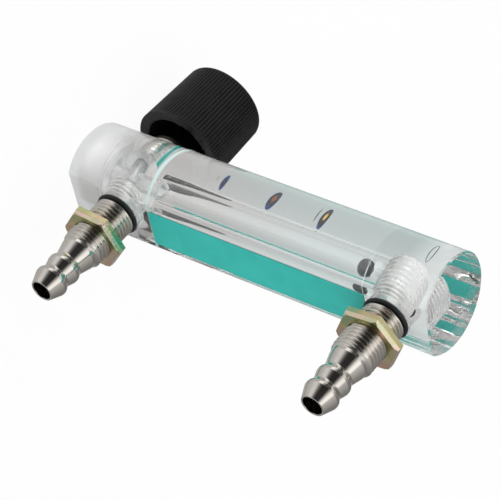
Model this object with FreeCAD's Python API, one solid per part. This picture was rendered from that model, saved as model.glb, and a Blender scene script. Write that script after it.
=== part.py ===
import FreeCAD, Part
import math
import os

# Oxygen flowmeter for panel mounting, sizes in millimetres.
# The metering tube stands along +Z and its valve end is at z = 0.
# The knob points to -Y, the front, and the two hose fittings point to +Y, the back.

# Metering tube
tube_radius = 11.5
tube_length = 95.6
flat_distance = 9.34
tube_chamfer = 0.35

# Ports: the lower one's height, and the upper one's distance below the tube's top
lower_port_height = 13.25
upper_port_margin = 10.35

# Metering bore and the passage below it, both a little in front of the tube's middle
bore_offset = 0.5
passage_radius = 1.2
bore_start_height = 20.5
bore_bottom_radius = 2.3
bore_top_radius = 2.5

# Scale film and colour strip on the tube
film_start_offset = 9.15
film_end_gap = 0.15
film_relief_gap = 0.15
film_thickness = 0.1
strip_width = 9.5
strip_shift = -0.55
strip_margin = 0.4
strip_thickness = 0.15
film_gap = 0.02

# Float and its two stops
float_radius = 2.0
float_drop = 0.6
stop_thickness = 1.6
stop_hole_radius = 0.8
upper_stop_clearance = 0.5

# Hose fittings
thread_radius = 5.0
thread_clearance = 0.05
fitting_engagement = 5.4
tapped_hole_extra = 0.6
upper_hole_extra = 5.8
shank_length = 14.0
thread_lead = 0.5
neck_shoulder = 0.95
neck_length = 4.36
neck_top_radius = 4.35
neck_root_radius = 3.4
barb_radius = 4.0
barb_root_radius = 3.3
barb_pitch = 4.25
barb_rise = 1.2
barb_land = 0.8
tip_barb_length = 5.1
tip_radius = 2.75
fitting_bore_radius = 2.36
fitting_bore_depth = 20.0
fitting_jet_radius = 1.3

# Sealing rings
ring_section = 1.05
ring_clearance = 0.03
ring_groove_depth = 0.58
ring_groove_lead = 0.3

# Panel nuts
nut_across_flats = 13.8
nut_thickness = 3.5
nut_chamfer_angle = 30.0
nut_face_inset = 0.5
nut_running_clearance = 0.06
lower_nut_distance = 16.9
upper_nut_distance = 14.9
lower_nut_turn = 10.0
upper_nut_turn = 19.0

# Plug that closes the valve end
plug_radius = 5.0
plug_length = 4.3
plug_recess = 0.3
plug_hole_extra = 2.8
plug_slot_width = 1.2
plug_slot_depth = 1.4
plug_ring_section = 1.0

# Needle valve, with its axis a little below the lower port's
valve_drop = 0.68
spot_face_depth = 1.1
spot_face_radius = 6.3
bonnet_thread_radius = 4.5
bonnet_engagement = 6.8
bonnet_flange_radius = 5.8
bonnet_flange_thickness = 1.4
bonnet_neck_radius = 5.3
bonnet_neck_length = 4.4
bonnet_ring_section = 1.0
chamber_radius = 1.9
seat_radius = 2.2
seat_thickness = 1.9
seat_hole_radius = 0.9
seat_inset = 1.44
spindle_radius = 1.5
spindle_thread_radius = 2.0
spindle_thread_length = 5.0
spindle_clearance = 0.05
spindle_ring_section = 0.9
spindle_ring_inset = 1.4
needle_length = 2.8
needle_tip_radius = 0.3
needle_overlap = 1.5
gland_across_flats = 8.0
gland_thickness = 2.0

# Control knob
knob_gap = 2.47
knob_length = 18.63
knob_rim_radius = 10.89
knob_end_radius = 10.36
knob_edge_round = 1.0
knob_rib_count = 78
knob_rib_depth = 0.3
knob_recess_radius = 8.3
knob_recess_depth = 9.0
knob_hub_radius = 4.6
knob_hub_drop = 2.0
knob_face_thickness = 1.5
knob_insert_radius = 3.4
knob_seat_clearance = 0.03

# How near two heights must be to count as the same one
same_height = 1e-6

# Places that follow from the sizes above
upper_port_height = tube_length - upper_port_margin
valve_height = lower_port_height - valve_drop
film_start_height = lower_port_height + film_start_offset
film_end_height = upper_port_height - thread_radius - film_end_gap
tapped_hole_depth = fitting_engagement + tapped_hole_extra
tapped_bottom = flat_distance - tapped_hole_depth
upper_hole_bottom = flat_distance - fitting_engagement - upper_hole_extra
upper_hole_low = upper_port_height - thread_radius - thread_clearance
stop_base_height = upper_hole_low - upper_stop_clearance - stop_thickness
float_height = stop_base_height - float_drop - float_radius
seat_distance = tapped_bottom - seat_inset
needle_reach = seat_distance + needle_overlap
knob_rim_distance = tube_radius + knob_gap
knob_face_distance = knob_rim_distance + knob_length
spot_face_distance = tube_radius - spot_face_depth
bonnet_inner_distance = spot_face_distance - bonnet_engagement
bonnet_outer_distance = spot_face_distance + bonnet_flange_thickness + bonnet_neck_length
spindle_ring_distance = bonnet_inner_distance + spindle_ring_inset
plug_top_height = plug_recess + plug_length
plug_hole_top = plug_top_height + plug_hole_extra

up = FreeCAD.Vector(0, 0, 1)
back = FreeCAD.Vector(0, 1, 0)


def upright_cylinder(radius, low, high, y=0):
    return Part.makeCylinder(radius, high - low, FreeCAD.Vector(0, y, low), up)


def back_cylinder(radius, low, high, height):
    # A cylinder along +Y from y = low to y = high, at the given height
    return Part.makeCylinder(radius, high - low, FreeCAD.Vector(0, low, height), back)


def turned_upright(profile, y):
    # A solid of revolution about an upright line from (radius, height) points
    points = [FreeCAD.Vector(radius, y, height) for radius, height in profile]
    face = Part.Face(Part.makePolygon(points + [points[0]]))
    return face.revolve(FreeCAD.Vector(0, y, 0), up, 360)


def turned_back(profile, height):
    # A solid of revolution about a line along +Y from (radius, y) points
    points = [FreeCAD.Vector(radius, y, height) for radius, y in profile]
    face = Part.Face(Part.makePolygon(points + [points[0]]))
    return face.revolve(FreeCAD.Vector(0, 0, height), back, 360)


def turned_front(profile, height):
    # The same, from (radius, distance towards the front) points
    return turned_back([(radius, -distance) for radius, distance in profile], height)


def ring_upright(groove_radius, section, height):
    middle = groove_radius + ring_clearance + section / 2
    return Part.makeTorus(middle, section / 2, FreeCAD.Vector(0, 0, height), up)


def ring_across(groove_radius, section, y, height):
    middle = groove_radius + ring_clearance + section / 2
    return Part.makeTorus(middle, section / 2, FreeCAD.Vector(0, y, height), back)


def d_prism(radius, flat, low, high):
    # A round bar along the tube's axis with one flat at y = flat
    bar = upright_cylinder(radius, low, high)
    corner = FreeCAD.Vector(-2 * radius, flat, low)
    return bar.cut(Part.makeBox(4 * radius, radius, high - low, corner))


def bore_radius_at(height):
    share = (height - bore_start_height) / (upper_port_height - bore_start_height)
    return bore_bottom_radius + share * (bore_top_radius - bore_bottom_radius)


def edges_on_plane(shape, height):
    level_edges = [edge for edge in shape.Edges if edge.BoundBox.ZLength < same_height]
    return [edge for edge in level_edges if abs(edge.BoundBox.ZMin - height) < same_height]


def tube():
    # Clear tube with the tapered bore, the passage, two tapped ports and the valve hole
    solid = d_prism(tube_radius, flat_distance, 0, tube_length)
    rims = edges_on_plane(solid, 0) + edges_on_plane(solid, tube_length)
    solid = solid.makeChamfer(tube_chamfer, rims)
    passage = upright_cylinder(passage_radius, plug_hole_top, bore_start_height, -bore_offset)
    plug_hole = upright_cylinder(plug_radius + thread_clearance, 0, plug_hole_top)
    cuts = [tube_bore(), passage, plug_hole]
    for height, bottom in ((lower_port_height, tapped_bottom), (upper_port_height, upper_hole_bottom)):
        hole = back_cylinder(thread_radius + thread_clearance, bottom, tube_radius, height)
        cuts.append(hole)
    cuts += valve_hole()
    for cut in cuts:
        solid = solid.cut(cut)
    return solid


def tube_bore():
    low = bore_start_height
    high = upper_port_height
    outline = [(0, low), (bore_bottom_radius, low), (bore_top_radius, high), (0, high)]
    return turned_upright(outline, -bore_offset)


def valve_hole():
    height = valve_height
    spot_face = back_cylinder(spot_face_radius, -2 * tube_radius, -spot_face_distance, height)
    threaded = back_cylinder(bonnet_thread_radius + thread_clearance, -tube_radius,
                             -bonnet_inner_distance + tapped_hole_extra, height)
    chamber = back_cylinder(chamber_radius, -bonnet_inner_distance, seat_distance, height)
    seat_pocket = back_cylinder(seat_radius + thread_clearance, seat_distance, tapped_bottom, height)
    return [spot_face, threaded, chamber, seat_pocket]


def port_relief():
    # Room for the upper fitting's seal, cut from the end of the film and of the strip
    seal_radius = thread_radius - ring_groove_depth + ring_clearance + ring_section
    return back_cylinder(seal_radius + film_relief_gap, 0, 2 * tube_radius, upper_port_height)


def scale_film():
    # Clear film wrapped round the tube over the length of the scale
    low = film_start_height
    high = film_end_height
    inner = d_prism(tube_radius + film_gap, flat_distance + film_gap, low, high)
    reach = film_gap + film_thickness
    outer = d_prism(tube_radius + reach, flat_distance + reach, low, high)
    return outer.cut(inner).cut(port_relief())


def colour_strip():
    # Coloured strip on the film, over the flat
    low = film_start_height + strip_margin
    y = flat_distance + film_gap + film_thickness + film_gap
    corner = FreeCAD.Vector(strip_shift - strip_width / 2, y, low)
    strip = Part.makeBox(strip_width, strip_thickness, film_end_height - low, corner)
    return strip.cut(port_relief())


def flow_float():
    # Ball float, at the height where the gas holds it
    return Part.makeSphere(float_radius, FreeCAD.Vector(0, -bore_offset, float_height))


def float_stop(low):
    # Small bush in the bore with a round gas way through it
    radius = bore_radius_at(low) - ring_clearance
    bush = upright_cylinder(radius, low, low + stop_thickness, -bore_offset)
    return bush.cut(upright_cylinder(stop_hole_radius, low, low + stop_thickness, -bore_offset))


def end_plug():
    # Screwed plug with a driver slot below and a ring groove near its top
    solid = upright_cylinder(plug_radius, plug_recess, plug_top_height)
    slot_corner = FreeCAD.Vector(-plug_radius, -plug_slot_width / 2, 0)
    slot = Part.makeBox(2 * plug_radius, plug_slot_width, plug_recess + plug_slot_depth, slot_corner)
    middle = plug_top_height - plug_ring_section
    groove_radius = plug_radius - plug_ring_section
    groove = upright_cylinder(plug_radius, middle - plug_ring_section / 2, middle + plug_ring_section / 2)
    groove = groove.cut(upright_cylinder(groove_radius, 0, plug_top_height))
    return solid.cut(slot).cut(groove)


def end_plug_ring():
    section = plug_ring_section - 2 * ring_clearance
    return ring_upright(plug_radius - plug_ring_section, section, plug_top_height - plug_ring_section)


def fitting_outline():
    # Radii of a hose fitting against distance from the flat, from its inner end to its tip
    inner = -fitting_engagement
    groove = thread_radius - ring_groove_depth
    neck = shank_length + neck_length
    barb = neck + barb_pitch
    tip = barb + tip_barb_length
    return [
        (thread_radius - thread_lead, inner),
        (thread_radius, inner + thread_lead),
        (thread_radius, -ring_groove_lead),
        (groove, 0),
        (groove, ring_section),
        (thread_radius, ring_section + ring_groove_lead),
        (thread_radius, shank_length - thread_lead),
        (thread_radius - thread_lead, shank_length),
        (neck_top_radius, shank_length),
        (neck_top_radius, shank_length + neck_shoulder),
        (neck_root_radius, neck),
        (barb_radius, neck + barb_rise),
        (barb_radius, neck + barb_rise + barb_land),
        (barb_root_radius, barb),
        (barb_radius, barb + barb_rise),
        (barb_radius, barb + barb_rise + barb_land),
        (tip_radius, tip),
    ]


def fitting(height):
    # Barbed fitting, turned in one piece, with a stepped gas way
    outline = [(radius, flat_distance + along) for radius, along in fitting_outline()]
    inner = outline[0][1]
    tip = outline[-1][1]
    step = tip - fitting_bore_depth
    gas_way = [(fitting_bore_radius, tip), (fitting_bore_radius, step)]
    gas_way += [(fitting_jet_radius, step), (fitting_jet_radius, inner)]
    return turned_back(outline + gas_way, height)


def fitting_ring(height):
    groove_radius = thread_radius - ring_groove_depth
    section = ring_section - ring_clearance
    return ring_across(groove_radius, section, flat_distance + ring_section / 2, height)


def hexagon(across_flats, turn, y, height):
    corner = across_flats / 2 / math.cos(math.radians(30))
    points = []
    for side in range(7):
        angle = math.radians(turn + 60 * side)
        points.append(FreeCAD.Vector(corner * math.cos(angle), y, height + corner * math.sin(angle)))
    return Part.Face(Part.makePolygon(points))


def hexagon_nut(across_flats, thickness, hole_radius, turn, y, height):
    # Hexagon nut along +Y with both faces chamfered to a circle inside the flats
    block = hexagon(across_flats, turn, y, height).extrude(FreeCAD.Vector(0, thickness, 0))
    corner = across_flats / 2 / math.cos(math.radians(30))
    face_radius = across_flats / 2 - nut_face_inset
    drop = (corner - face_radius) * math.tan(math.radians(nut_chamfer_angle))
    envelope = [(0, y), (face_radius, y), (corner, y + drop)]
    envelope += [(corner, y + thickness - drop), (face_radius, y + thickness), (0, y + thickness)]
    nut = block.common(turned_back(envelope, height))
    return nut.cut(back_cylinder(hole_radius, y, y + thickness, height))


def panel_nut(distance, turn, height):
    hole_radius = thread_radius + nut_running_clearance
    return hexagon_nut(nut_across_flats, nut_thickness, hole_radius, turn, distance, height)


def valve_bonnet():
    # Screwed valve body: threaded nose, flange on the spot face, neck into the knob
    bore = spindle_thread_radius + spindle_clearance
    inner = bonnet_inner_distance
    flange = spot_face_distance + bonnet_flange_thickness
    groove = bonnet_thread_radius - bonnet_ring_section
    ring_top = spot_face_distance - bonnet_ring_section
    outline = [
        (bore, inner),
        (bonnet_thread_radius - thread_lead, inner),
        (bonnet_thread_radius, inner + thread_lead),
        (bonnet_thread_radius, ring_top),
        (groove, ring_top),
        (groove, spot_face_distance),
        (bonnet_flange_radius, spot_face_distance),
        (bonnet_flange_radius, flange),
        (bonnet_neck_radius, flange),
        (bonnet_neck_radius, bonnet_outer_distance),
        (bore, bonnet_outer_distance),
    ]
    return turned_front(outline, valve_height)


def bonnet_ring():
    groove_radius = bonnet_thread_radius - bonnet_ring_section
    section = bonnet_ring_section - 2 * ring_clearance
    middle = spot_face_distance - bonnet_ring_section / 2
    return ring_across(groove_radius, section, -middle, valve_height)


def valve_seat():
    outline = [
        (seat_hole_radius, -seat_distance),
        (seat_radius, -seat_distance),
        (seat_radius, -seat_distance - seat_thickness),
        (seat_hole_radius, -seat_distance - seat_thickness),
    ]
    return turned_front(outline, valve_height)


def spindle_end_distance():
    return knob_face_distance - knob_face_thickness - knob_seat_clearance


def needle_spindle():
    # Needle, stem with a ring groove, screw thread and the end that carries the knob
    cone_end = needle_length - needle_reach
    groove_radius = spindle_radius - spindle_ring_section / 3
    half_ring = spindle_ring_section / 2
    thread_end = bonnet_outer_distance + gland_thickness
    thread_start = thread_end - spindle_thread_length
    outline = [
        (0, -needle_reach),
        (needle_tip_radius, -needle_reach),
        (seat_hole_radius, cone_end),
        (spindle_radius, cone_end + spindle_radius - seat_hole_radius),
        (spindle_radius, spindle_ring_distance - half_ring),
        (groove_radius, spindle_ring_distance - half_ring),
        (groove_radius, spindle_ring_distance + half_ring),
        (spindle_radius, spindle_ring_distance + half_ring),
        (spindle_radius, thread_start),
        (spindle_thread_radius, thread_start),
        (spindle_thread_radius, spindle_end_distance()),
        (0, spindle_end_distance()),
    ]
    return turned_front(outline, valve_height)


def spindle_ring():
    # The ring fills the way between the spindle's groove and the bonnet's bore
    groove_radius = spindle_radius - spindle_ring_section / 3
    bore = spindle_thread_radius + spindle_clearance
    section = bore - groove_radius - 2 * ring_clearance
    return ring_across(groove_radius, section, -spindle_ring_distance, valve_height)


def gland_nut():
    y = -bonnet_outer_distance - gland_thickness
    hole_radius = spindle_thread_radius + spindle_clearance
    return hexagon_nut(gland_across_flats, gland_thickness, hole_radius, 0, y, valve_height)


def knob_ribbed_block():
    # Straight ribs all round, tapering from the open rim to the face
    wires = []
    for distance, radius in ((knob_rim_distance, knob_rim_radius), (knob_face_distance, knob_end_radius)):
        points = []
        for step in range(2 * knob_rib_count):
            angle = math.pi * step / knob_rib_count
            reach = radius - knob_rib_depth * (step % 2)
            x = reach * math.cos(angle)
            z = valve_height + reach * math.sin(angle)
            points.append(FreeCAD.Vector(x, -distance, z))
        wires.append(Part.makePolygon(points + [points[0]]))
    return Part.makeLoft(wires, True, True)


def knob_envelope():
    # Rounds the edge between the knob's side and its face
    slant = knob_edge_round * (1 - math.sin(math.radians(45)))
    height = valve_height
    rim = FreeCAD.Vector(knob_rim_radius, -knob_rim_distance, height)
    axis_rim = FreeCAD.Vector(0, -knob_rim_distance, height)
    arc_start = FreeCAD.Vector(knob_end_radius, -knob_face_distance + knob_edge_round, height)
    arc_middle = FreeCAD.Vector(knob_end_radius - slant, -knob_face_distance + slant, height)
    arc_end = FreeCAD.Vector(knob_end_radius - knob_edge_round, -knob_face_distance, height)
    axis_face = FreeCAD.Vector(0, -knob_face_distance, height)
    curves = [
        Part.LineSegment(axis_rim, rim),
        Part.LineSegment(rim, arc_start),
        Part.Arc(arc_start, arc_middle, arc_end),
        Part.LineSegment(arc_end, axis_face),
        Part.LineSegment(axis_face, axis_rim),
    ]
    outline = Part.Wire([curve.toShape() for curve in curves])
    return Part.Face(outline).revolve(axis_rim, back, 360)


def knob():
    # Moulded cap with a deep recess towards the tube and a hub that holds the insert
    height = valve_height
    recess_floor = knob_rim_distance + knob_recess_depth
    hub_start = recess_floor - knob_hub_drop
    socket_floor = knob_face_distance - knob_face_thickness
    recess = back_cylinder(knob_recess_radius, -recess_floor, 0, height)
    hub = back_cylinder(knob_hub_radius, -recess_floor, -hub_start, height)
    socket = back_cylinder(knob_insert_radius, -socket_floor, -hub_start, height)
    solid = knob_ribbed_block().common(knob_envelope()).cut(recess)
    return solid.fuse(hub).cut(socket).removeSplitter()


def knob_insert():
    # Metal bush moulded into the knob, on the spindle's end
    hub_start = knob_rim_distance + knob_recess_depth - knob_hub_drop
    socket_floor = knob_face_distance - knob_face_thickness
    hole_radius = spindle_thread_radius + knob_seat_clearance
    radius = knob_insert_radius - knob_seat_clearance
    bush = back_cylinder(radius, -socket_floor + knob_seat_clearance, -hub_start, valve_height)
    return bush.cut(back_cylinder(hole_radius, -socket_floor, -hub_start, valve_height))


def all_parts():
    return {
        "metering_tube": tube(),
        "scale_film": scale_film(),
        "colour_strip": colour_strip(),
        "flow_float": flow_float(),
        "lower_float_stop": float_stop(bore_start_height),
        "upper_float_stop": float_stop(stop_base_height),
        "end_plug": end_plug(),
        "end_plug_seal": end_plug_ring(),
        "lower_fitting": fitting(lower_port_height),
        "lower_fitting_seal": fitting_ring(lower_port_height),
        "lower_panel_nut": panel_nut(lower_nut_distance, lower_nut_turn, lower_port_height),
        "upper_fitting": fitting(upper_port_height),
        "upper_fitting_seal": fitting_ring(upper_port_height),
        "upper_panel_nut": panel_nut(upper_nut_distance, upper_nut_turn, upper_port_height),
        "valve_bonnet": valve_bonnet(),
        "bonnet_seal": bonnet_ring(),
        "valve_seat": valve_seat(),
        "needle_spindle": needle_spindle(),
        "spindle_seal": spindle_ring(),
        "gland_nut": gland_nut(),
        "control_knob": knob(),
        "knob_insert": knob_insert(),
    }


os.makedirs("parts", exist_ok=True)
for name, shape in all_parts().items():
    if not shape.isValid():
        raise ValueError(name + " is not a valid shape")
    shape.exportStep("parts/" + name + ".step")
    print(name, len(shape.Solids), round(shape.Volume, 2))
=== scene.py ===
import math

import bpy
import bmesh
import numpy as np
from mathutils import Matrix, Vector


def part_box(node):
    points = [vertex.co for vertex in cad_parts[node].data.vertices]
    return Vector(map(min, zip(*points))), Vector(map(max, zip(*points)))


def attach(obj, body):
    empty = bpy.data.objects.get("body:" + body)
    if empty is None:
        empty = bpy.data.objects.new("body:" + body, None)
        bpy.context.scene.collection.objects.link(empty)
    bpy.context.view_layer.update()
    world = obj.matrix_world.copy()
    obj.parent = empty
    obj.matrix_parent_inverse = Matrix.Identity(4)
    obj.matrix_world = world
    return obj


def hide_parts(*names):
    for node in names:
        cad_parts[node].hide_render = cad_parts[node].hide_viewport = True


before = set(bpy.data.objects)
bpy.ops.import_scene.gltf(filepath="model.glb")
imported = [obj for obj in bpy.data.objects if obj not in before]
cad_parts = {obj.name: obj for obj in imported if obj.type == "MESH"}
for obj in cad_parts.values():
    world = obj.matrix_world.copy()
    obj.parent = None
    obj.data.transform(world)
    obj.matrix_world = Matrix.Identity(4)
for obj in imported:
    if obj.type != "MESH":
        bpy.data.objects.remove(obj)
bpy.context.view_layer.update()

# Oxygen flowmeter: clear metering tube, ribbed valve knob and two barbed hose fittings.
# Metres, in the CAD frame: +Z up the tube, +Y out of the back, -Y out of the front.

mm = 0.001
tubeLow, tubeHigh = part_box("metering_tube")
tubeRadius = tubeHigh.x
tubeLength = tubeHigh.z
flatAt = tubeHigh.y
lowerPort = (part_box("lower_fitting")[0].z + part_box("lower_fitting")[1].z) / 2
upperPort = (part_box("upper_fitting")[0].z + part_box("upper_fitting")[1].z) / 2
valveAt = (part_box("valve_bonnet")[0].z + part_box("valve_bonnet")[1].z) / 2
print("frame loaded, tube", round(tubeRadius / mm, 2), "by", round(tubeLength / mm, 2), "mm")


# Surfaces and meshes

def meshFromGrid(name, grid, wrapRows=False, wrapColumns=True):
    # Joins a (rows, columns, 3) grid of points with quads, closing either direction on itself
    rows, columns = grid.shape[:2]
    index = np.arange(rows * columns).reshape(rows, columns)
    nextRow = np.roll(index, -1, 0)
    nextColumn = np.roll(index, -1, 1)
    both = np.roll(nextRow, -1, 1)
    quads = np.stack([index, nextColumn, both, nextRow], 2)
    quads = quads[:rows if wrapRows else rows - 1, :columns if wrapColumns else columns - 1]
    mesh = bpy.data.meshes.new(name)
    mesh.from_pydata(grid.reshape(-1, 3).tolist(), [], quads.reshape(-1, 4).tolist())
    return mesh


def closeMesh(mesh):
    # Merges the points that meet at seams and poles, and turns every face outwards
    work = bmesh.new()
    work.from_mesh(mesh)
    bmesh.ops.remove_doubles(work, verts=work.verts, dist=1e-7)
    bmesh.ops.dissolve_degenerate(work, edges=work.edges, dist=1e-8)
    openEdges = [edge for edge in work.edges if edge.is_boundary]
    if openEdges:
        bmesh.ops.holes_fill(work, edges=openEdges, sides=0)
    bmesh.ops.recalc_face_normals(work, faces=work.faces)
    work.to_mesh(mesh)
    work.free()
    return mesh


def addObject(name, data):
    made = bpy.data.objects.new(name, data)
    bpy.context.scene.collection.objects.link(made)
    return made


def placeMesh(name, mesh, materials, sharpAngle=35):
    # Smooth shading with hard edges where two faces meet at more than sharpAngle
    for material in materials:
        mesh.materials.append(finish[material])
    mesh.shade_smooth()
    mesh.set_sharp_from_angle(angle=math.radians(sharpAngle))
    return addObject(name, mesh)


def gridPiece(name, grid, materials, sharpAngle=35, wrapRows=False):
    return placeMesh(name, closeMesh(meshFromGrid(name, grid, wrapRows)), materials, sharpAngle)


def faceCentres(mesh):
    centres = np.empty(len(mesh.polygons) * 3)
    mesh.polygons.foreach_get("center", centres)
    return centres.reshape(-1, 3)


def finishPiece(piece, body, slot, *nodes):
    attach(piece, body)
    if nodes:
        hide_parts(*nodes)


def roundProfile(points, rounding, steps=5):
    # Each inner corner of a (radius, along) path becomes a short quadratic curve that starts and
    # ends one rounding from the corner, or a third of the shorter side beside it
    points = np.array(points, float)
    out = [points[0]]
    for before, corner, after in zip(points[:-2], points[1:-1], points[2:]):
        sides = np.linalg.norm([before - corner, after - corner], axis=1)
        cut = min(rounding, sides.min() / 3)
        start = corner + (before - corner) * cut / sides[0]
        end = corner + (after - corner) * cut / sides[1]
        t = np.linspace(0, 1, steps)[:, None]
        out.extend((1 - t) ** 2 * start + 2 * t * (1 - t) * corner + t ** 2 * end)
    out.append(points[-1])
    return np.array(out)


def denseProfile(points, step):
    # Adds points so that no two neighbours along the path are more than one step apart
    parts = []
    for start, end in zip(points[:-1], points[1:]):
        count = max(1, int(np.ceil(np.linalg.norm(end - start) / step)))
        parts.append(start + (end - start) * np.linspace(0, 1, count, endpoint=False)[:, None])
    parts.append(points[-1:])
    return np.concatenate(parts)


def smoothStep(low, high, value):
    # 0 below low, 1 above high, and 3t^2 - 2t^3 between them
    t = np.clip((value - low) / (high - low), 0, 1)
    return t * t * (3 - 2 * t)


def ridge(turns, flat=0.14):
    # A wave of straight flanks: 1 on a narrow flat crest at each whole number of turns, and 0 on a
    # flat root halfway
    wave = 2 * np.abs(turns - np.round(turns))
    return np.clip((1 - flat - wave) / (1 - 2 * flat), 0, 1)


def turnedAcross(profile, height, facets, threads=()):
    # Carries a (radius, y) profile round a line along Y. In each thread (start, end, pitch, depth)
    # the radius drops by the depth between crests that climb one pitch a turn, fading at both ends.
    angle = np.linspace(0, 2 * np.pi, facets, endpoint=False)[None, :]
    radius = profile[:, :1] + 0 * angle
    along = profile[:, 1:] + 0 * angle
    for start, end, pitch, depth in threads:
        fade = smoothStep(start, start + pitch, along) * (1 - smoothStep(end - pitch, end, along))
        climb = (along - start) / pitch - angle / (2 * np.pi)
        radius = radius - depth * fade * (1 - ridge(climb))
    return np.stack([radius * np.cos(angle), along, height + radius * np.sin(angle)], 2)


def turnedUpright(profile, facets, y=0.0):
    # Carries a (radius, z) profile round an upright line at the given y
    angle = np.linspace(0, 2 * np.pi, facets, endpoint=False)[None, :]
    radius = profile[:, :1] + 0 * angle
    height = profile[:, 1:] + 0 * angle
    return np.stack([radius * np.cos(angle), y + radius * np.sin(angle), height], 2)


def threadedWall(profile, start, end, radius, pitch, depth):
    # A hole's (radius, along) profile with rings of thread on its wall from start to end, each ring
    # a ridge cut outwards by the depth
    dense = denseProfile(np.array(profile), pitch / 8)
    turns = (dense[:, 1] - start) / pitch + 0.5
    wall = (dense[:, 0] > radius * 0.999) & (dense[:, 1] > start) & (dense[:, 1] < end)
    dense[:, 0] += np.where(wall, depth * ridge(turns), 0)
    return dense


def sectionOutline(radius, flat, facets):
    # The tube's section: an arc of the radius, closed by the straight chord at y = flat
    half = math.acos(min(1, flat / radius))
    arc = np.linspace(math.pi / 2 + half, math.pi / 2 + 2 * math.pi - half, facets)
    points = np.stack([radius * np.cos(arc), radius * np.sin(arc)], 1)
    chord = np.linspace(points[-1], points[0], 16)[1:-1]
    return np.concatenate([points, chord])


def cylinderPatch(arc, height, radius):
    # Points on the tube's round side, from the arc length past +X and the height
    return np.stack([radius * np.cos(arc / radius), radius * np.sin(arc / radius), height], -1)


def extrudedSection(levels, facets=360):
    # One outline for each (inset, height) level, stacked up the tube
    rings = []
    for inset, height in levels:
        outline = sectionOutline(tubeRadius - inset, flatAt - inset, facets)
        rings.append(np.column_stack([outline, np.full(len(outline), height)]))
    return np.array(rings)


def boxMesh(name, low, high):
    corners = [(x, y, z) for z in (low[2], high[2]) for y in (low[1], high[1]) for x in (low[0], high[0])]
    faces = [(0, 2, 3, 1), (4, 5, 7, 6), (0, 1, 5, 4), (2, 6, 7, 3), (0, 4, 6, 2), (1, 3, 7, 5)]
    mesh = bpy.data.meshes.new(name)
    mesh.from_pydata(corners, [], faces)
    return mesh


# Materials

def newMaterial(name, **sockets):
    # A Principled material. Constant values go straight on its own sockets.
    material = bpy.data.materials.new(name)
    material.use_nodes = True
    shader = material.node_tree.nodes["Principled BSDF"]
    for key, value in sockets.items():
        shader.inputs[key.replace("_", " ")].default_value = value
    return material, material.node_tree, shader


def addNode(tree, kind, **values):
    # Each value goes on the input of that name, or else on the node itself
    node = tree.nodes.new(kind)
    for key, value in values.items():
        if key in node.inputs:
            node.inputs[key].default_value = value
        else:
            setattr(node, key, value)
    return node


def feed(tree, node, *values):
    # Fills the inputs in order, with a link for a socket and a constant for anything else
    for socket, value in zip(node.inputs, values):
        if isinstance(value, bpy.types.NodeSocket):
            tree.links.new(value, socket)
        else:
            socket.default_value = value
    return node.outputs[0]


def mathOf(tree, operation, *values):
    return feed(tree, addNode(tree, "ShaderNodeMath", operation=operation), *values)


def vectorOf(tree, operation, *values):
    node = addNode(tree, "ShaderNodeVectorMath", operation=operation)
    feed(tree, node, *values)
    return node.outputs["Value" if operation in ("DOT_PRODUCT", "LENGTH") else "Vector"]


def scaledBy(tree, vector, factor):
    node = addNode(tree, "ShaderNodeVectorMath", operation="SCALE", Scale=factor)
    return feed(tree, node, vector)


def partsOf(tree, vector):
    split = addNode(tree, "ShaderNodeSeparateXYZ")
    tree.links.new(vector, split.inputs[0])
    return split.outputs


def coordinate(tree, kind="Object"):
    return addNode(tree, "ShaderNodeTexCoord").outputs[kind]


def mapRange(tree, value, low, high, start=0.0, end=1.0, kind="LINEAR"):
    # Carries low to start and high to end, and holds beyond them
    limits = {"From Min": low, "From Max": high, "To Min": start, "To Max": end}
    return feed(tree, addNode(tree, "ShaderNodeMapRange", interpolation_type=kind, **limits), value)


def objectNoise(tree, scale, detail=2.0, stretch=(1, 1, 1)):
    # Noise on Object coordinates, with the scale in waves per metre
    mapping = addNode(tree, "ShaderNodeMapping", Scale=stretch)
    noise = addNode(tree, "ShaderNodeTexNoise", Scale=scale, Detail=detail)
    tree.links.new(coordinate(tree), mapping.inputs["Vector"])
    tree.links.new(mapping.outputs["Vector"], noise.inputs["Vector"])
    return noise.outputs["Fac"]


def noiseBetween(tree, scale, detail, low, high):
    # The noise's middle part, 0.3 to 0.7, carried to the two values
    return mapRange(tree, objectNoise(tree, scale, detail), 0.3, 0.7, low, high)


def colourRamp(tree, factor, stops):
    ramp = addNode(tree, "ShaderNodeValToRGB")
    while len(ramp.color_ramp.elements) < len(stops):
        ramp.color_ramp.elements.new(0.5)
    for element, (position, colour) in zip(ramp.color_ramp.elements, stops):
        element.position = position
        element.color = (*colour, 1)
    tree.links.new(factor, ramp.inputs["Fac"])
    return ramp.outputs["Color"]


def showMixed(tree, factor, first, second):
    # The surface shows the first shader where the factor is 0 and the second where it is 1
    mixed = feed(tree, addNode(tree, "ShaderNodeMixShader"), factor, first, second)
    tree.links.new(mixed, tree.nodes["Material Output"].inputs["Surface"])


def letShadowsThrough(tree, tint):
    # Light reaches what lies behind clear acrylic: its shadow rays see a tinted clear sheet
    shadow = addNode(tree, "ShaderNodeLightPath").outputs["Is Shadow Ray"]
    clear = addNode(tree, "ShaderNodeBsdfTransparent", Color=(*tint, 1))
    showMixed(tree, shadow, tree.nodes["Principled BSDF"].outputs[0], clear.outputs[0])


tubeFinish = {"colour": (0.989, 0.989, 0.990, 1), "shadow": (0.98, 0.985, 0.985), "haze": 0.34,
              "hazeFrom": 4 * mm, "hazeTo": 19 * mm, "endRoughness": 0.05, "endSkin": 0.05 * mm,
              "clearness": [(0, 0.62), (5.5, 0.60), (10, 0.85), (17, 1), (86, 1), (90.5, 0.80), (95.2, 0.78),
                            (95.3, 1)]}


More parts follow.
